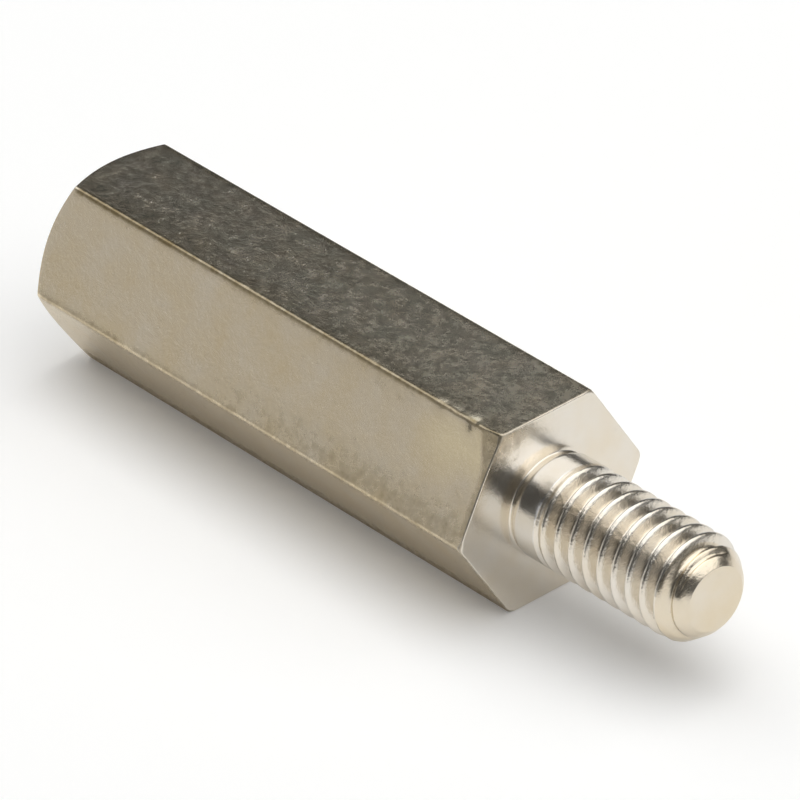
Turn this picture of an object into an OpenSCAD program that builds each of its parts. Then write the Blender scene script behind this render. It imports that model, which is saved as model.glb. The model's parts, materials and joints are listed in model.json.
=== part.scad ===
// Hex standoff: a threaded stud at one end, and a tapped blind hole in the other.
// It is one piece, turned from hexagonal brass bar.
// The frame's origin is on the axis, at the shoulder that the stud stands out of.
// +X runs along the axis to the stud's tip, and the part lies on one of its flats.
// Both threads are plain here: the stud and the hole have the diameter over the crests.

/* [Hexagonal body] */
// Width across two opposite flats
across_flats = 7; // [5.5:0.1:12]
// Length of the body, from its tapped end to the shoulder
body_length = 23; // [16:0.5:60]
// Radius of the six long edges of the bar
edge_radius = 0.15; // [0.1:0.05:0.6]

/* [Chamfer of the tapped end] */
// How far inside the flats the end's flat circle lies
end_chamfer_inset = 0.2; // [0.05:0.05:0.4]
// Angle between the chamfer and the end's plane
end_chamfer_angle = 39; // [15:1:50]

/* [Chamfer of the shoulder] */
// Radial width of the chamfer that breaks the six corners of the shoulder
corner_break = 0.15; // [0.05:0.05:0.35]

/* [Stud] */
// Diameter over the crests of the stud's thread
stud_diameter = 3.85; // [3:0.05:4.7]
// Length of the stud, from the shoulder to its tip
stud_length = 8.1; // [4:0.1:16]
// Radial width of the chamfer that leads the thread in
tip_chamfer_width = 0.5; // [0.2:0.05:0.7]
// Length of that chamfer
tip_chamfer_length = 0.7; // [0.2:0.05:1.2]
// Radial width of the steeper bevel between that chamfer and the flat tip
tip_bevel_width = 0.25; // [0.05:0.05:0.4]
// Length of the bevel
tip_bevel_length = 0.2; // [0.05:0.05:0.4]

/* [Tapped hole] */
// Diameter of the hole over the crests of its thread
hole_diameter = 3.3; // [2.5:0.05:4]
// Depth of the hole's round wall, from the tapped end
hole_depth = 12; // [6:0.5:14.5]
// Full angle of the drilled point at the bottom of the hole
drill_point_angle = 118; // [90:1:140]
// Radial width of the countersink at the hole's mouth
countersink_width = 0.5; // [0.1:0.05:0.6]

/* [Hidden] */

nickel = "#b8b09a";
round_fn = 96;
// Straight steps in the arc of each long edge
edge_steps = 6;
// Length by which a cut or a joined shape runs past the face it starts from
overrun = 1;

// Distance from the axis to where two flats would meet if the edge were sharp
corner_radius = across_flats / sqrt(3);
// Distance from the axis to the centre of a long edge's arc
edge_centre = corner_radius - edge_radius * 2 / sqrt(3);
// Distance from the axis to the outside of that arc
edge_reach = edge_centre + edge_radius;
// Radius at which the chamfers' outline is clear of the bar
clear_radius = corner_radius + overrun;

end_circle_radius = across_flats / 2 - end_chamfer_inset;
shoulder_circle_radius = edge_reach - corner_break;
hole_radius = hole_diameter / 2;

// Outside of the tip's bevel
tip_bevel_radius = stud_diameter / 2 - tip_chamfer_width;

function direction(angle) = [cos(angle), sin(angle)];

// Turns a shape made along +Z to lie along +X, with its base at x
module along_x(x = 0) translate([x, 0, 0]) rotate([0, 90, 0]) children();

// The bar's section, with a corner on its first axis. Each corner is an arc from flat to flat.
module bar_section() {
    polygon([for (corner = [0:60:300], turn = [-30:60 / edge_steps:30])
        edge_centre * direction(corner) + edge_radius * direction(corner + turn)]);
}

// The bar, with one flat up and one flat down
module bar() {
    along_x(-body_length) rotate(90) linear_extrude(body_length) bar_section();
}

// What the chamfers of both ends leave of the bar
module chamfer_outline() {
    along_x(-body_length) rotate_extrude($fn = round_fn) polygon([
        [0, 0],
        [end_circle_radius, 0],
        [clear_radius, (clear_radius - end_circle_radius) * tan(end_chamfer_angle)],
        [clear_radius, body_length - (clear_radius - shoulder_circle_radius)],
        [shoulder_circle_radius, body_length],
        [0, body_length],
    ]);
}

module stud() {
    along_x() rotate_extrude($fn = round_fn) polygon([
        [0, -overrun],
        [stud_diameter / 2, -overrun],
        [stud_diameter / 2, stud_length - tip_bevel_length - tip_chamfer_length],
        [tip_bevel_radius, stud_length - tip_bevel_length],
        [tip_bevel_radius - tip_bevel_width, stud_length],
        [0, stud_length],
    ]);
}

// The blind hole, with a 45 degree countersink and a drilled point
module tapped_hole() {
    along_x(-body_length) rotate_extrude($fn = round_fn) polygon([
        [0, -overrun],
        [hole_radius + countersink_width + overrun, -overrun],
        [hole_radius, countersink_width],
        [hole_radius, hole_depth],
        [0, hole_depth + hole_radius / tan(drill_point_angle / 2)],
    ]);
}

module hex_standoff() {
    color(nickel) difference() {
        union() {
            intersection() {
                bar();
                chamfer_outline();
            }
            stud();
        }
        tapped_hole();
    }
}

hex_standoff();
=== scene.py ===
# A hex standoff: turned from hexagonal brass bar, nickel plated, lying on a pale floor under soft light.
import json
import math

import bpy
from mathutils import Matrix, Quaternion, Vector


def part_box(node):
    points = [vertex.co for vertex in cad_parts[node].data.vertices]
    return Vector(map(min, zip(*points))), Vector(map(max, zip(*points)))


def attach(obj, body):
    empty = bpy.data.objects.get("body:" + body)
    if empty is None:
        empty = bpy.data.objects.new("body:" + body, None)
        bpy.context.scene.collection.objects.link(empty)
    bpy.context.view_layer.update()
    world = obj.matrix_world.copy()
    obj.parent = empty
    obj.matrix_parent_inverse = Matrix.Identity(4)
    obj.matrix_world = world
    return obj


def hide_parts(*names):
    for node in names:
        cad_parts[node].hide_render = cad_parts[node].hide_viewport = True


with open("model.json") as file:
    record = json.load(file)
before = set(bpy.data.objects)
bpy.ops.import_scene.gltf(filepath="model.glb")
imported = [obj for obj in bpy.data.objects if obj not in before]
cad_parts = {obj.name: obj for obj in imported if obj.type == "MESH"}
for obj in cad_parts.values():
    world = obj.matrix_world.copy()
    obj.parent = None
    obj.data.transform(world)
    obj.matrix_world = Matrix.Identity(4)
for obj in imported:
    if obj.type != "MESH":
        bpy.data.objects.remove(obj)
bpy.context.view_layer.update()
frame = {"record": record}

# Lengths below are in millimetres, angles in degrees, until the mesh is made.
MM = 0.001
SECTORS = 6  # the bar's corners, and its flats
SECTOR = 360 / SECTORS

# Sizes that the frame gives
box_low, box_high = (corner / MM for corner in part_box("hex_standoff"))
mounts = {mount["name"]: mount for mount in frame["record"]["mounts"]}
body_length = -box_low.x
stud_length = box_high.x
across_flats = box_high.z - box_low.z
edge_reach = box_high.y
stud_radius = mounts["stud"]["dims"]["r_mm"]
hole_radius = mounts["tapped_hole"]["dims"]["r_mm"]
wall_length = mounts["tapped_hole"]["dims"]["length_mm"]
wall_middle = mounts["tapped_hole"]["pos_m"][0] / MM

# The bar's six long edges are arcs that run from flat to flat
half_flats = across_flats / 2
half_side = half_flats * math.tan(math.radians(SECTOR / 2))
corner_radius = half_flats / math.cos(math.radians(SECTOR / 2))
edge_radius = (corner_radius - edge_reach) / (2 / math.sqrt(3) - 1)
edge_centre = edge_reach - edge_radius
# Angle about the axis from a corner to where its arc meets a flat, in radians
arc_end = math.atan2(edge_radius / 2, edge_centre + edge_radius * math.sqrt(3) / 2)

# Chamfers
END_CHAMFER_INSET = 0.2
END_CHAMFER_ANGLE = 39
CORNER_BREAK = 0.15
TIP_CHAMFER_WIDTH = 0.5
TIP_BEVEL_WIDTH = 0.25
TIP_BEVEL_LENGTH = 0.2
COUNTERSINK = 0.5
DRILL_POINT_ANGLE = 118
end_circle = half_flats - END_CHAMFER_INSET
shoulder_circle = edge_reach - CORNER_BREAK
chamfer_start = mounts["stud"]["dims"]["length_mm"]
bevel_start = stud_length - TIP_BEVEL_LENGTH
bevel_radius = stud_radius - TIP_CHAMFER_WIDTH
tip_radius = bevel_radius - TIP_BEVEL_WIDTH
hole_bottom = wall_middle + wall_length / 2
hole_mouth = -body_length

# Radius that the tools and the plating leave along each crease
CREASE_RADIUS = 0.05
TIP_CREASE = 0.4
SHOULDER_EDGE = 0.06
BASE_FILLET = 0.08
# The most that a rounding takes of the shorter leg beside it
MOST_OF_LEG = 0.45

# M4 threads, right-handed
PITCH = 0.7
THREAD_DEPTH = 0.43
TAPPED_DEPTH = 0.35
CREST_SHARE = 0.14  # of the pitch, flat along the top of the crest
ROOT_SHARE = 0.18  # of the pitch, flat along the bottom of the groove
FLANK_ROUNDING = 0.5  # 0 is a straight flank, and 1 a fully rounded one
STUD_CREST = 4.28  # a crest of the stud's thread stands here at CREST_ANGLE
CREST_ANGLE = 85
# Where each thread begins, and where it is full
STUD_RUN_IN = (1.3, 1.85)
TAP_RUN_OUT = (hole_bottom - 1.5, hole_bottom - 2.4)
# The thread's outline ends this far before the tip's bevel, clear of the crease there
BEFORE_BEVEL = 0.08

# The groove that the turning tool left at the stud's base: the ends of its floor and of its slope
RELIEF_DEPTH = 0.1
RELIEF = (0.12, 0.38)

# The thread's last turn is broken off on the tip's chamfer. It leaves a short groove there.
BROKEN_TURN = 7.75
BROKEN_TURN_WIDTH = 0.12
BROKEN_TURN_DEPTH = 0.09
# For each end of the groove, the angle where it vanishes and the angle where it is full
BROKEN_TURN_START = (50, 70)
BROKEN_TURN_STOP = (155, 140)

# Steps of the mesh round the axis
ARC_STEPS = 6
FLAT_STEPS = 22
# Steps of the mesh along the outline
CREASE_STEPS = 4
STUD_STEPS_PER_PITCH = 18
HOLE_STEPS_PER_PITCH = 10
MOUTH_STEPS = 2
END_FACE_STEPS = 4
END_CHAMFER_STEPS = 4
BODY_STEPS = 90
BRUISED_STEPS = 28
SHOULDER_STEPS = 10
RELIEF_STEPS = 6
NECK_STEPS = 10
TIP_STEPS = 5
# The last stretch of the body has finer steps, for the bruises
BRUISED_FROM = -1.5
# A ring of the mesh lies this close beside an edge, and keeps the edge crisp
BESIDE_EDGE = 0.05
MOUTH_RING = 0.06
TIP_RING = 0.2


def line(start, end, steps):
    """Points from start to end, without start."""
    return [
        (start[0] + (end[0] - start[0]) * i / steps, start[1] + (end[1] - start[1]) * i / steps)
        for i in range(1, steps + 1)
    ]


def rounded(before, corner, after, radius):
    """The arc that rounds a corner of an outline, from the leg before it to the leg after it."""
    corner = Vector(corner)
    to_before = Vector(before) - corner
    to_after = Vector(after) - corner
    half_turn = (math.pi - to_before.angle(to_after)) / 2
    shortest = min(to_before.length, to_after.length)
    setback = min(radius * math.tan(half_turn), MOST_OF_LEG * shortest)
    to_before.normalize()
    to_after.normalize()
    middle = (to_before + to_after).normalized()
    to_centre = setback / math.sin(half_turn)
    centre = corner + middle * to_centre
    start = corner + to_before * setback - centre
    end = corner + to_after * setback - centre
    points = []
    for i in range(CREASE_STEPS + 1):
        share = i / CREASE_STEPS
        reach = (math.sin((1 - share) * 2 * half_turn) * start + math.sin(share * 2 * half_turn) * end)
        points.append(tuple(centre + reach / math.sin(2 * half_turn)))
    return points


def bar_radius(angle):
    """Distance from the axis to the bar's surface at an angle about it."""
    off_corner = (angle + SECTOR / 2) % SECTOR - SECTOR / 2
    turn = math.radians(abs(off_corner))
    if turn > arc_end:
        return half_flats / math.cos(math.radians(SECTOR / 2) - turn)
    return edge_centre * math.cos(turn) + math.sqrt(edge_radius**2 - (edge_centre * math.sin(turn)) ** 2)


def ease(value, start, end):
    """0 at start, 1 at end, and smooth between."""
    share = min(1, max(0, (value - start) / (end - start)))
    return share * share * (3 - 2 * share)


def thread_height(x, angle, crest):
    """1 on the crest of a right-hand thread and 0 in its root. At angle 0 a crest stands at x = crest."""
    turns = (x - crest) / PITCH - angle / 360
    off_crest = abs(turns - round(turns))
    share = (off_crest - CREST_SHARE / 2) / (0.5 - CREST_SHARE / 2 - ROOT_SHARE / 2)
    share = min(1, max(0, share))
    return 1 - share - FLANK_ROUNDING * (share * share * (3 - 2 * share) - share)


# Two corners of one flat are bruised at the shoulder. A bruise is a small slanted facet: how far it runs
# along the bar's edge and across the flat, and its depth at the corner. A corner's name is its angle.
BRUISED_FLAT = 150
BRUISES = {
    120: {"along_edge": 0.8, "across_flat": 1.6, "depth": 0.1},
    180: {"along_edge": 0.35, "across_flat": 0.6, "depth": 0.07},
}
BRUISE_BLEND = 0.03  # along its border, the facet blends into the flat over this height

# Nicks in the bar's edges: x, angle, radius and depth
NICKS = (
    (-2.9, 120.5, 0.3, 0.06),
    (-2.2, 119, 0.22, 0.04),
    (-1.35, 120.5, 0.35, 0.07),
    (-6.4, 120, 0.2, 0.03),
    (-13.1, 121, 0.25, 0.03),
    (-4.1, 180, 0.25, 0.04),
    (-17.5, 179.5, 0.2, 0.03),
)


def bruise_share(x, angle, corner):
    """1 at a bruised corner, 0 along the bruise's border, and less than 0 outside it."""
    bruise = BRUISES[corner]
    across = half_flats * math.tan(math.radians(angle - BRUISED_FLAT))
    from_corner = half_side - across if corner > BRUISED_FLAT else half_side + across
    return 1 + x / bruise["along_edge"] - from_corner / bruise["across_flat"]


def soft_least(a, b, blend):
    """The lesser of two lengths, with a smooth change from one to the other."""
    overlap = max(0, 1 - abs(a - b) / blend)
    return min(a, b) - overlap * overlap * blend / 4


def worn_radius(x, angle):
    """The bar's surface with its bruises and nicks."""
    r = bar_radius(angle)
    to_flat = math.cos(math.radians(angle - BRUISED_FLAT))
    if abs(angle - BRUISED_FLAT) < SECTOR:
        for corner, bruise in BRUISES.items():
            facet = (half_flats - bruise["depth"] * bruise_share(x, angle, corner)) / to_flat
            r = soft_least(r, facet, BRUISE_BLEND)
    for nick_x, nick_angle, nick_radius, depth in NICKS:
        across = math.radians(angle - nick_angle) * r
        away = math.hypot(x - nick_x, across) / nick_radius
        if away < 1:
            r -= depth * (1 - away * away) ** 2
    return r


# The angles of the front's edges, of which the upper one is the most worn
WORN_EDGE = 120
LOWER_EDGE = 180
BOTTOM_EDGE = 240
# Bands of worn plate and of painted shade on the flats. Each row is the edge that a band runs beside, the
# angles that it lies between, how far it browns and darkens the plate, the distances from the edge at which
# it fades out and is full, and the two places along the bar at which it begins and is full.
WHOLE_LENGTH = (-24, -23.5)
WEAR_AND_PAINTED_SHADE_BANDS = (
    (WORN_EDGE, (90, 150), 0.85, (0.2, 0.05), WHOLE_LENGTH),
    (WORN_EDGE, (90, 150), 1, (0.2, 0.05), (-11, -17)),
    # These two bands make the top flat and the upper front flat darker beside the worn edge
    (WORN_EDGE, (60, 120), 0.4, (1.3, 0.2), WHOLE_LENGTH),
    (WORN_EDGE, (120, 180), 0.25, (0.9, 0.1), (-14, -4)),
    # Painted shade: these two bands darken the upper front flat towards its lower edge, most near the
    # shoulder
    (LOWER_EDGE, (120, 180), 0.55, (1.7, 0), (-20, -3)),
    (LOWER_EDGE, (120, 180), 0.25, (3, 1.5), (-1.7, -0.9)),
    # Painted shade: the lower front flat darkens towards the bottom edge, where it mirrors the floor beneath
    # the bar
    (BOTTOM_EDGE, (180, 240), 0.7, (0.9, 0.15), WHOLE_LENGTH),
)
# Wear along every edge, more of it on the front, and along the shoulder's end of every flat. On the bottom
# edge, the front's larger share is painted shade.
EDGE_WEAR = 0.2
FRONT_EDGE_WEAR_AND_SHADE = 0.5
FRONT_ANGLES = (30, 240)
EDGE_WEAR_AND_SHADE_ACROSS = (0.3, 0.05)
END_WEAR = 0.5
END_WEAR_ALONG = (-0.3, 0)
BRUISED_END_WEAR = 0.6
BRUISED_END_WEAR_ALONG = (-0.5, -0.1)
# Wear in a bruise, and along its border
BRUISE_WEAR = 0.3
BRUISE_BORDER_WEAR = 0.5
BRUISE_BORDER = (0.25, 0.05)
# Painted highlight: the bruised flat is paler towards the shoulder and the worn edge
PAINTED_HIGHLIGHT_ALONG = (-4.5, -1.8)
PAINTED_HIGHLIGHT_ACROSS = (2.8, 0.3)
# Wear of the shoulder near the corner at the worn edge's end, and along its outer edge
CORNER_WEAR = 0.45
CORNER_WEAR_AWAY = (1.8, 0.7)
RIM_WEAR = 0.7
RIM_WEAR_ALONG = (0, -0.03)


def plate_wear(x, angle):
    """How far the flats' plate is worn, with painted shade, 0 to 1. Below 0, a highlight is painted."""
    off_corner = abs((angle + SECTOR / 2) % SECTOR - SECTOR / 2)
    front = FRONT_ANGLES[0] < angle < FRONT_ANGLES[1]
    # On the bottom edge, the front's larger share is painted shade
    most = FRONT_EDGE_WEAR_AND_SHADE if front else EDGE_WEAR
    wear_and_painted_light = most * ease(math.radians(off_corner) * half_flats, *EDGE_WEAR_AND_SHADE_ACROSS)
    wear_and_painted_light = max(wear_and_painted_light, END_WEAR * ease(x, *END_WEAR_ALONG))
    # Bands of wear, and bands of painted shade
    for edge, (first, last), most, across, along in WEAR_AND_PAINTED_SHADE_BANDS:
        if first <= angle <= last:
            from_edge = math.radians(abs(angle - edge)) * half_flats
            wear_and_painted_light = max(wear_and_painted_light, most * ease(from_edge, *across) * ease(x, *along))
    if abs(angle - BRUISED_FLAT) > SECTOR / 2:
        return wear_and_painted_light
    wear_and_painted_light = max(wear_and_painted_light, BRUISED_END_WEAR * ease(x, *BRUISED_END_WEAR_ALONG))
    from_edge = math.radians(angle - WORN_EDGE) * half_flats
    # Painted highlight: below 0 the flat turns paler towards the shoulder and the worn edge
    wear_and_painted_light -= ease(x, *PAINTED_HIGHLIGHT_ALONG) * ease(from_edge, *PAINTED_HIGHLIGHT_ACROSS) * (1 - wear_and_painted_light)
    for corner in BRUISES:
        share = bruise_share(x, angle, corner)
        if share > 0:
            wear_and_painted_light = BRUISE_WEAR
        wear_and_painted_light += max(0, BRUISE_BORDER_WEAR - wear_and_painted_light) * ease(abs(share), *BRUISE_BORDER)
    return wear_and_painted_light


def shoulder_wear(x, r, angle):
    """How far the shoulder's plate is worn, 0 to 1."""
    turn = math.radians(angle - WORN_EDGE)
    away = math.hypot(r * math.cos(turn) - edge_reach, r * math.sin(turn))
    near_corner = CORNER_WEAR * ease(away, *CORNER_WEAR_AWAY)
    along_rim = RIM_WEAR * ease(x, *RIM_WEAR_ALONG)
    return max(near_corner, along_rim)


def hole_outline(angle):
    """The blind hole, from the edge of its drilled point to its mouth."""
    inwards = BESIDE_EDGE * math.tan(math.radians(DRILL_POINT_ANGLE / 2))
    points = [(hole_bottom + BESIDE_EDGE, hole_radius - inwards)]
    points.append((hole_bottom, hole_radius))
    length = hole_bottom - hole_mouth
    steps = round(length / PITCH * HOLE_STEPS_PER_PITCH)
    for x, r in line((hole_bottom, hole_radius), (hole_mouth, hole_radius), steps):
        groove = 1 - thread_height(x, angle, hole_mouth)
        thread = r + TAPPED_DEPTH * groove * ease(x, *TAP_RUN_OUT)
        sink = hole_radius + COUNTERSINK - (x - hole_mouth)
        points.append((x, max(thread, sink)))
    return points


def end_outline(angle):
    """The tapped end's face and its chamfer."""
    bar = bar_radius(angle)
    mouth = (hole_mouth, hole_radius + COUNTERSINK)
    rim = (hole_mouth, end_circle)
    slope = math.tan(math.radians(END_CHAMFER_ANGLE))
    crease = (hole_mouth + (bar - end_circle) * slope, bar)
    points = line(mouth, (hole_mouth, mouth[1] + MOUTH_RING), MOUTH_STEPS)
    points += line(points[-1], (hole_mouth, end_circle - CREASE_RADIUS), END_FACE_STEPS)
    points += rounded(mouth, rim, crease, CREASE_RADIUS)
    along = rounded(rim, crease, (0, bar), CREASE_RADIUS)
    points += line(points[-1], along[0], END_CHAMFER_STEPS)[:-1]
    return points + along


def flats_outline(angle):
    """The length of the bar, up to its edge at the shoulder."""
    bar = bar_radius(angle)
    start = end_outline(angle)[-1]
    points = line(start, (BRUISED_FROM, bar), BODY_STEPS)
    edge = max(bar - shoulder_circle, SHOULDER_EDGE)
    points += line(points[-1], (-edge, bar), BRUISED_STEPS)
    return [(x, worn_radius(x, angle)) for x, _ in points]


def shoulder_outline(angle):
    """The bar's edge at the shoulder, and the flat shoulder as far as the stud."""
    x, r = flats_outline(angle)[-1]
    points = rounded((x - 1, r), (0, r), (0, stud_radius), -x)[1:]
    foot = (0, stud_radius + BASE_FILLET)
    points += line(points[-1], (0, points[-1][1] - BESIDE_EDGE), 1)
    return points + line(points[-1], foot, SHOULDER_STEPS)


def neck_outline(angle):
    """The stud's base with its tool groove, and its plain neck."""
    base = stud_radius - RELIEF_DEPTH
    points = rounded((0, stud_radius + 1), (0, base), (1, base), BASE_FILLET)[1:]
    points += line(points[-1], (RELIEF[0], base), 1)
    points += line(points[-1], (RELIEF[1], stud_radius), RELIEF_STEPS)
    return points + line(points[-1], (STUD_RUN_IN[0], stud_radius), NECK_STEPS)


def thread_outline(angle):
    """The stud's thread, and its chamfer at the tip."""
    start = (STUD_RUN_IN[0], stud_radius)
    end = (bevel_start - BEFORE_BEVEL, stud_radius)
    steps = round((end[0] - start[0]) / PITCH * STUD_STEPS_PER_PITCH)
    crest = STUD_CREST - PITCH * CREST_ANGLE / 360
    slope = TIP_CHAMFER_WIDTH / (bevel_start - chamfer_start)
    broken = ease(angle, *BROKEN_TURN_START) * ease(angle, *BROKEN_TURN_STOP)
    points = []
    for x, r in line(start, end, steps):
        groove = 1 - thread_height(x, angle, crest)
        thread = r - THREAD_DEPTH * groove * ease(x, *STUD_RUN_IN)
        chamfer = bevel_radius + (bevel_start - x) * slope
        off_turn = abs(x - BROKEN_TURN) / BROKEN_TURN_WIDTH
        chamfer -= BROKEN_TURN_DEPTH * broken * ease(off_turn, 1, 0)
        points.append((x, min(thread, chamfer)))
    return points


def tip_outline(angle):
    """The tip's bevel and its flat."""
    bevel = (bevel_start, bevel_radius)
    rim = (stud_length, tip_radius)
    points = rounded((chamfer_start, stud_radius), bevel, rim, TIP_CREASE)
    points += rounded(bevel, rim, (stud_length, 0), CREASE_RADIUS)
    return points + line(points[-1], (stud_length, TIP_RING), TIP_STEPS)


# The sections of the outline, from the bottom of the hole, over the outside, to the stud's tip
SECTIONS = {
    "tapped_hole": hole_outline,
    "tapped_end": end_outline,
    "flats": flats_outline,
    "shoulder": shoulder_outline,
    "neck": neck_outline,
    "thread": thread_outline,
    "tip": tip_outline,
}


def ring_angles():
    """Angles of the mesh round the axis, closest on the long edges and widest in the middle of the flats."""
    angles = []
    flat_start = math.degrees(arc_end)
    flat = SECTOR - 2 * flat_start
    for sector in range(SECTORS):
        corner = sector * SECTOR
        for i in range(ARC_STEPS):
            turn = math.radians(SECTOR * (i / ARC_STEPS - 0.5))
            across = edge_radius * math.sin(turn)
            out = edge_centre + edge_radius * math.cos(turn)
            angles.append(corner + math.degrees(math.atan2(across, out)))
        for i in range(FLAT_STEPS):
            share = 0.5 - 0.5 * math.cos(math.pi * i / FLAT_STEPS)
            angles.append(corner + flat_start + flat * share)
    return angles


# The flat on top, which is pitted, lies between these angles
PITTED_ANGLES = (60, 120)


def finish_of(section, x, r, angle):
    """The finish of a face of the mesh, from its section and the place of its first corner."""
    if section == "tapped_end" and r > end_circle:
        return "end_chamfer"
    if section == "flats" and PITTED_ANGLES[0] <= angle < PITTED_ANGLES[1]:
        return "pitted_flat"
    if section == "neck" and x < RELIEF[1]:
        return "shoulder"
    if section == "thread" and x > chamfer_start:
        return "tip"
    return section


def wear_and_painted_light_of(section, x, r, angle):
    """How far the plate is worn at a point of the mesh, with the flats' painted shade and highlight."""
    if section == "flats":
        return plate_wear(x, angle)
    if section == "shoulder":
        return shoulder_wear(x, r, angle)
    return 0


def make_standoff(materials):
    """The whole standoff as one closed mesh: an outline at each angle about the axis, joined side by side."""
    angles = ring_angles()
    around = len(angles)
    columns = []
    for angle in angles:
        column = []
        for outline in SECTIONS.values():
            column += outline(angle)
        columns.append(column)
    rings = len(columns[0])
    section_of_ring = []
    for section, outline in SECTIONS.items():
        section_of_ring += [section] * len(outline(0))

    vertices = []
    wear_and_painted_light = []
    for ring in range(rings):
        for angle, column in zip(angles, columns):
            x, r = column[ring]
            turn = math.radians(angle)
            vertices.append((x * MM, r * math.cos(turn) * MM, r * math.sin(turn) * MM))
            wear_and_painted_light.append(wear_and_painted_light_of(section_of_ring[ring], x, r, angle))
    point_depth = hole_radius / math.tan(math.radians(DRILL_POINT_ANGLE / 2))
    hole_point = len(vertices)
    vertices.append(((hole_bottom + point_depth) * MM, 0, 0))
    stud_tip = len(vertices)
    vertices.append((stud_length * MM, 0, 0))
    wear_and_painted_light += [0, 0]

    names = list(materials)
    faces = []
    finishes = []
    for ring in range(rings - 1):
        for i, angle in enumerate(angles):
            x, r = columns[i][ring]
            finish = finish_of(section_of_ring[ring + 1], x, r, angle)
            a = ring * around + i
            b = ring * around + (i + 1) % around
            faces.append((a, a + around, b + around, b))
            finishes.append(names.index(finish))
    last = (rings - 1) * around
    for i in range(around):
        after = (i + 1) % around
        faces.append((hole_point, i, after))
        finishes.append(names.index("tapped_hole"))
        faces.append((last + i, stud_tip, last + after))
        finishes.append(names.index("tip"))

    mesh = bpy.data.meshes.new("hex_standoff_nickel")
    mesh.from_pydata(vertices, [], faces)
    for material in materials.values():
        mesh.materials.append(material)
    mesh.polygons.foreach_set("material_index", finishes)
    mesh.shade_smooth()
    mesh.attributes.new("plate_wear", "FLOAT", "POINT").data.foreach_set("value", wear_and_painted_light)
    piece = bpy.data.objects.new("nickel_plated_standoff", mesh)
    bpy.context.scene.collection.objects.link(piece)
    weighted = piece.modifiers.new("flats_stay_flat", "WEIGHTED_NORMAL")
    weighted.keep_sharp = False
    return piece


# Materials


def linear(hex_colour):
    """A colour written in sRGB hex, as linear red, green, blue and alpha."""
    channels = [int(hex_colour[i:i + 2], 16) / 255 for i in (1, 3, 5)]
    return [c / 12.92 if c <= 0.04045 else ((c + 0.055) / 1.055) ** 2.4 for c in channels] + [1]


def per_metre(size):
    """The scale of a pattern whose features are size millimetres across."""
    return 1 / (size * MM)


def add_node(tree, kind, inputs=None, **settings):
    """Adds a node, with its settings and with its inputs set to values or linked to other nodes' outputs."""
    node = tree.nodes.new("ShaderNode" + kind)
    for name, value in settings.items():
        setattr(node, name, value)
    for name, value in (inputs or {}).items():
        if isinstance(value, bpy.types.NodeSocket):
            tree.links.new(value, node.inputs[name])
        else:
            node.inputs[name].default_value = value
    return node


def new_material(name):
    """An empty material with its node tree and its shader."""
    material = bpy.data.materials.new(name)
    material.use_nodes = True
    return material, material.node_tree, material.node_tree.nodes["Principled BSDF"]


NICKEL = "#e8e8e8"
NICKEL_OVER_BRASS = "#dbcaaa"
# The pale colour of the painted highlight on the bruised flat
PAINTED_HIGHLIGHT_COLOUR = "#f0e0bc"
# The brown of worn plate, which also colours the painted shade
BROWN_OF_WEAR_AND_SHADE = "#807152"
OLIVE_STAIN = "#c8c4b2"

# Each pattern's size in millimetres, and the detail and roughness of its noise. The real grain is a few
# hundredths of a millimetre across. That is too fine to show, so it is drawn as coarse as it needs to be.
PATTERNS = {
    "clouds": (1.6, 6, 0.6),
    "stain": (0.9, 3, 0.6),
    "pits": (0.5, 4, 0.7),
    "blotches": (0.35, 4, 0.7),
    "grain": (0.22, 5, 0.65),
}
# The values of a pattern's noise that count as none and as full
NOISE_RANGE = (0.3, 0.7)
STAIN_RANGE = (0.25, 0.75)
PIT_RANGE = (0.45, 0.75)
# The same for the blotches and the wear with its painted shade, taken together, and the blotches' weight in
# that
BLOTCH_WEIGHT = 1.6
WORN_AND_SHADED_RANGE = (1.0, 1.9)
# How brown full wear and painted shade make the plate in its blotches, and everywhere else
BLOTCHY_BROWN = 0.6
EVEN_BROWN = 0.35
# How far the brass share and the roughness stray to either side, and how far wear and painted shade
# roughen the plate
THIN_SPREAD = 0.12
ROUGHNESS_SPREAD = 0.03
WORN_AND_SHADED_ROUGHNESS = 0.3
# How much rougher, and how much more pitted, the pitted flat gets towards the shoulder
ROUGHER_AT_SHOULDER = 0.045
PITTED_AT_SHOULDER = 0.08


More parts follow.
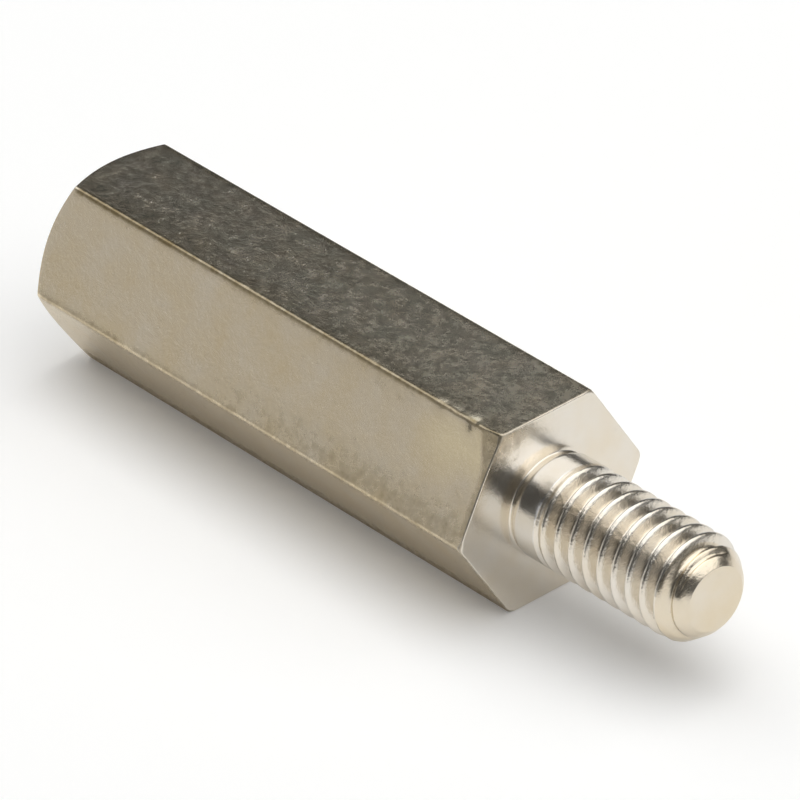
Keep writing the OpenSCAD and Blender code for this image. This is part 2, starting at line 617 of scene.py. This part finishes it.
def nickel_plate(name, roughness, brass_share, grain_depth, pits=0, edge_tint="#ffffff"):
    """Satin nickel plate over brass.

    It is a warm grey metal with soft reflections, and its fine grain breaks up their borders. It is yellower
    in clouds where the plate is thin, and paler where a highlight is painted. Wear and painted shade brown it
    evenly, and brown and dull it in blotches. Pits are matt inside, in metal with an olive stain, and there
    are more of them towards the shoulder. With an edge tint, a face seen at a glancing angle is a little
    darker.
    """
    material, tree, shader = new_material(name)
    place = add_node(tree, "TexCoord").outputs["Object"]
    # The plate's wear, with the painted shade and painted highlight of the flats
    wear_and_painted_light = add_node(tree, "Attribute", attribute_name="plate_wear").outputs["Fac"]
    noise = {}
    for pattern, (size, detail, break_up) in PATTERNS.items():
        if pits or pattern not in ("stain", "pits"):
            settings = {"Vector": place, "Scale": per_metre(size), "Detail": detail, "Roughness": break_up}
            noise[pattern] = add_node(tree, "TexNoise", settings).outputs["Fac"]

    # Colour
    thin = add_node(
        tree,
        "MapRange",
        {
            "Value": noise["clouds"],
            "From Min": NOISE_RANGE[0],
            "From Max": NOISE_RANGE[1],
            "To Min": max(0, brass_share - THIN_SPREAD),
            "To Max": min(1, brass_share + THIN_SPREAD),
        },
    )
    colour = add_node(
        tree,
        "Mix",
        {"Factor": thin.outputs["Result"], "A": linear(NICKEL), "B": linear(NICKEL_OVER_BRASS)},
        data_type="RGBA",
    )
    if pits:
        stain = add_node(
            tree,
            "MapRange",
            {"Value": noise["stain"], "From Min": STAIN_RANGE[0], "From Max": STAIN_RANGE[1]},
        )
        colour = add_node(
            tree,
            "Mix",
            {"Factor": stain.outputs["Result"], "A": colour.outputs[2], "B": linear(OLIVE_STAIN)},
            data_type="RGBA",
        )
    # Painted highlight: where the attribute is below 0, the plate turns pale
    painted_highlight = add_node(tree, "Math", {0: wear_and_painted_light, 1: -1}, operation="MULTIPLY", use_clamp=True)
    colour = add_node(
        tree,
        "Mix",
        {"Factor": painted_highlight.outputs[0], "A": colour.outputs[2], "B": linear(PAINTED_HIGHLIGHT_COLOUR)},
        data_type="RGBA",
    )
    blotched = add_node(
        tree,
        "Math",
        {0: noise["blotches"], 1: BLOTCH_WEIGHT, 2: wear_and_painted_light},
        operation="MULTIPLY_ADD",
    )
    worn_and_shaded = add_node(
        tree,
        "MapRange",
        {"Value": blotched.outputs[0], "From Min": WORN_AND_SHADED_RANGE[0], "From Max": WORN_AND_SHADED_RANGE[1]},
    )
    evenly = add_node(tree, "Math", {0: wear_and_painted_light, 1: EVEN_BROWN}, operation="MULTIPLY")
    brown = add_node(
        tree,
        "Math",
        {0: worn_and_shaded.outputs["Result"], 1: BLOTCHY_BROWN, 2: evenly.outputs[0]},
        operation="MULTIPLY_ADD",
    )
    colour = add_node(
        tree,
        "Mix",
        {"Factor": brown.outputs[0], "A": colour.outputs[2], "B": linear(BROWN_OF_WEAR_AND_SHADE)},
        data_type="RGBA",
    )

    # Roughness. Matt spots take the place of the dullness of wear and painted shade on the pitted flat.
    satin = add_node(
        tree,
        "MapRange",
        {
            "Value": noise["grain"],
            "From Min": NOISE_RANGE[0],
            "From Max": NOISE_RANGE[1],
            "To Min": roughness - ROUGHNESS_SPREAD,
            "To Max": roughness + ROUGHNESS_SPREAD,
        },
    )
    rough = add_node(
        tree,
        "Math",
        {0: worn_and_shaded.outputs["Result"], 1: 0 if pits else WORN_AND_SHADED_ROUGHNESS, 2: satin.outputs["Result"]},
        operation="MULTIPLY_ADD",
    )
    if pits:
        along = add_node(tree, "SeparateXYZ", {0: place}).outputs["X"]
        nearer = add_node(tree, "MapRange", {"Value": along, "From Min": -body_length * MM, "From Max": 0})
        rough = add_node(
            tree,
            "Math",
            {0: nearer.outputs["Result"], 1: ROUGHER_AT_SHOULDER, 2: rough.outputs[0]},
            operation="MULTIPLY_ADD",
        )
        more = add_node(
            tree,
            "Math",
            {0: nearer.outputs["Result"], 1: PITTED_AT_SHOULDER, 2: noise["pits"]},
            operation="MULTIPLY_ADD",
        )
        pit = add_node(
            tree,
            "MapRange",
            {"Value": more.outputs[0], "From Min": PIT_RANGE[0], "From Max": PIT_RANGE[1], "To Max": pits},
        )
        rough = add_node(tree, "Math", {0: rough.outputs[0], 1: pit.outputs["Result"]}, operation="ADD")

    bump = add_node(tree, "Bump", {"Height": noise["grain"], "Distance": grain_depth * MM, "Strength": 1})
    shader.inputs["Metallic"].default_value = 1
    shader.inputs["Specular Tint"].default_value = linear(edge_tint)
    tree.links.new(colour.outputs[2], shader.inputs["Base Color"])
    tree.links.new(rough.outputs[0], shader.inputs["Roughness"])
    tree.links.new(bump.outputs["Normal"], shader.inputs["Normal"])
    return material


# The plate on each part of the standoff. Roughness is how soft its reflections are, and brass_share is how
# yellow it is. The grain's depth is in millimetres, pits is the roughness that the pits add, and edge_tint
# is the tint at a glancing angle.
FINISHES = {
    # Cut by a tap under thin plate: soft and even
    "tapped_hole": {
        "name": "nickel_plate_tapped_hole",
        "roughness": 0.3,
        "brass_share": 0.5,
        "grain_depth": 0.003,
    },
    # Turned: plain and even
    "tapped_end": {
        "name": "nickel_plate_turned_end",
        "roughness": 0.25,
        "brass_share": 0.5,
        "grain_depth": 0.003,
    },
    # Turned, with plate as thin and yellow as that of the flats
    "end_chamfer": {
        "name": "nickel_plate_on_end_chamfer",
        "roughness": 0.22,
        "brass_share": 0.88,
        "grain_depth": 0.012,
    },
    # Drawn bar: yellow satin, with a grain that breaks the reflections' borders
    "flats": {
        "name": "nickel_plate_on_drawn_flats",
        "roughness": 0.22,
        "brass_share": 0.88,
        "grain_depth": 0.012,
        "edge_tint": "#f0eeea",
    },
    # The same bar, pitted and stained: olive, with specks that are paler than the dark that it mirrors
    "pitted_flat": {
        "name": "nickel_plate_on_pitted_flat",
        "roughness": 0.18,
        "brass_share": 0.7,
        "grain_depth": 0.012,
        "pits": 0.1,
    },
    # Turned: greyer than the flats, and it mirrors the stud softly
    "shoulder": {
        "name": "nickel_plate_on_turned_shoulder",
        "roughness": 0.22,
        "brass_share": 0.5,
        "grain_depth": 0.006,
    },
    # Turned smooth under thick plate: the whitest and the sharpest mirror of all
    "neck": {
        "name": "nickel_plate_on_neck",
        "roughness": 0.13,
        "brass_share": 0,
        "grain_depth": 0.006,
    },
    # Cut by a die: fairly bright, with the deepest grain, which roughens its highlights
    "thread": {
        "name": "nickel_plate_on_thread",
        "roughness": 0.2,
        "brass_share": 0.48,
        "grain_depth": 0.02,
    },
    # Turned, with thin plate: yellow and soft
    "tip": {
        "name": "nickel_plate_on_tip",
        "roughness": 0.22,
        "brass_share": 0.72,
        "grain_depth": 0.012,
    },
}


# Floor, lamps, room and camera

FLOOR_RADIUS = 1.2  # metres
FLOOR_SIDES = 64
FLOOR_COLOUR = "#f9f9f8"
FLOOR_LIFT = 0.12
# The rim takes no light from the lamps, and all of its white shows without them
RIM_HEIGHT = 0.03  # metres
RIM_COLOUR = "#000000"
RIM_LIFT = 1


def paper(name, colour, lift):
    """Matt white paper. It has no shine, and lift is the share of white that it shows without any lamp."""
    material, tree, shader = new_material(name)
    shader.inputs["Base Color"].default_value = linear(colour)
    shader.inputs["Roughness"].default_value = 1
    shader.inputs["Specular IOR Level"].default_value = 0
    shader.inputs["Emission Color"].default_value = (1, 1, 1, 1)
    path = add_node(tree, "LightPath")
    seen = path.outputs["Is Camera Ray"]
    for ray in ("Is Glossy Ray", "Is Transmission Ray"):
        seen = add_node(tree, "Math", {0: seen, 1: path.outputs[ray]}, operation="MAXIMUM").outputs[0]
    shown = add_node(tree, "Math", {0: seen, 1: lift}, operation="MULTIPLY")
    tree.links.new(shown.outputs[0], shader.inputs["Emission Strength"])
    return material


def make_floor():
    """A pale sheet of paper under the standoff, with a low white rim that closes the lowest camera's view."""
    rim = []
    for i in range(FLOOR_SIDES):
        turn = 2 * math.pi * i / FLOOR_SIDES
        rim.append(Vector((math.cos(turn), math.sin(turn), 0)) * FLOOR_RADIUS)
    rim_top = [point + Vector((0, 0, RIM_HEIGHT)) for point in rim]
    faces = [tuple(range(FLOOR_SIDES))]
    for i in range(FLOOR_SIDES):
        after = (i + 1) % FLOOR_SIDES
        faces.append((i, i + FLOOR_SIDES, after + FLOOR_SIDES, after))
    mesh = bpy.data.meshes.new("floor")
    mesh.from_pydata(rim + rim_top, [], faces)
    mesh.materials.append(paper("matt_white_paper", FLOOR_COLOUR, FLOOR_LIFT))
    mesh.materials.append(paper("white_paper_rim", RIM_COLOUR, RIM_LIFT))
    mesh.polygons.foreach_set("material_index", [0] + [1] * FLOOR_SIDES)
    floor = bpy.data.objects.new("floor", mesh)
    floor.location.z = box_low.z * MM
    bpy.context.scene.collection.objects.link(floor)


# Where each lamp's middle is, the point that it faces, and its width and height, all in metres.
# Radiance 1 is as bright as white paper looks.
LAMPS = {
    "soft_box": {
        "shape": "ELLIPSE",
        "place": (0.497, 0.336, 1.039),
        "faces": (0, 0, 0),
        "size": (2.05, 2.05),
        "radiance": 1.45,
    },
    "overhead_panel": {
        "shape": "RECTANGLE",
        "place": (-1.14, 0.06, 1.2),
        "faces": (-1.14, 0.06, 0),
        "size": (2.28, 1.32),
        "radiance": 1.32,
    },
    "low_card": {
        "shape": "RECTANGLE",
        "place": (-0.978, -1.086, 0.337),
        "faces": (0, 0, 0),
        "size": (1.4, 0.69),
        "radiance": 0.46,
    },
}
WORLD_LEVEL = 0.08  # of white


def make_lamp(name, setting):
    """A soft lamp with an even face."""
    lamp = bpy.data.lights.new(name, "AREA")
    lamp.shape = setting["shape"]
    lamp.size, lamp.size_y = setting["size"]
    area = lamp.size * lamp.size_y
    if lamp.shape == "ELLIPSE":
        area *= math.pi / 4
    lamp.energy = setting["radiance"] * math.pi * area
    holder = bpy.data.objects.new(name, lamp)
    holder.location = setting["place"]
    holder.rotation_mode = "QUATERNION"
    facing = Vector(setting["faces"]) - holder.location
    holder.rotation_quaternion = facing.to_track_quat("-Z", "Y")
    bpy.context.scene.collection.objects.link(holder)


def make_world():
    """The dim room round the soft box."""
    world = bpy.data.worlds.new("dim_room")
    world.use_nodes = True
    background = world.node_tree.nodes["Background"]
    background.inputs["Color"].default_value = (1, 1, 1, 1)
    background.inputs["Strength"].default_value = WORLD_LEVEL
    bpy.context.scene.world = world


# Degrees
CAMERA_AZIMUTH = 51.74
CAMERA_ELEVATION = 32.82
CAMERA_ROLL = -3.92
# Metres
CAMERA_DISTANCE = 0.27865
CAMERA_CLIP_START = 0.01
# Millimetres: the lens, and how far from the middle of the standoff's box the camera aims
CAMERA_LENS = 371.86
AIM_OFF_MIDDLE = (-0.566, 0.258, 0.248)


def make_camera():
    """A long lens that looks down on the stud's end from the front right."""
    data = bpy.data.cameras.new("camera")
    data.lens = CAMERA_LENS
    data.clip_start = CAMERA_CLIP_START
    camera = bpy.data.objects.new("camera", data)
    azimuth = math.radians(CAMERA_AZIMUTH)
    elevation = math.radians(CAMERA_ELEVATION)
    level = math.cos(elevation)
    back = Vector((math.sin(azimuth) * level, -math.cos(azimuth) * level, math.sin(elevation)))
    aim = ((box_low + box_high) / 2 + Vector(AIM_OFF_MIDDLE)) * MM
    camera.location = aim + back * CAMERA_DISTANCE
    camera.rotation_mode = "QUATERNION"
    roll = Quaternion((0, 0, 1), math.radians(CAMERA_ROLL))
    camera.rotation_quaternion = (-back).to_track_quat("-Z", "Y") @ roll
    bpy.context.scene.collection.objects.link(camera)
    bpy.context.scene.camera = camera


make_camera()
make_floor()
for lamp_name, lamp_setting in LAMPS.items():
    make_lamp(lamp_name, lamp_setting)
make_world()
bpy.context.scene.view_settings.view_transform = "Standard"

standoff = make_standoff({section: nickel_plate(**finish) for section, finish in FINISHES.items()})
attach(standoff, "root")
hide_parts("hex_standoff")
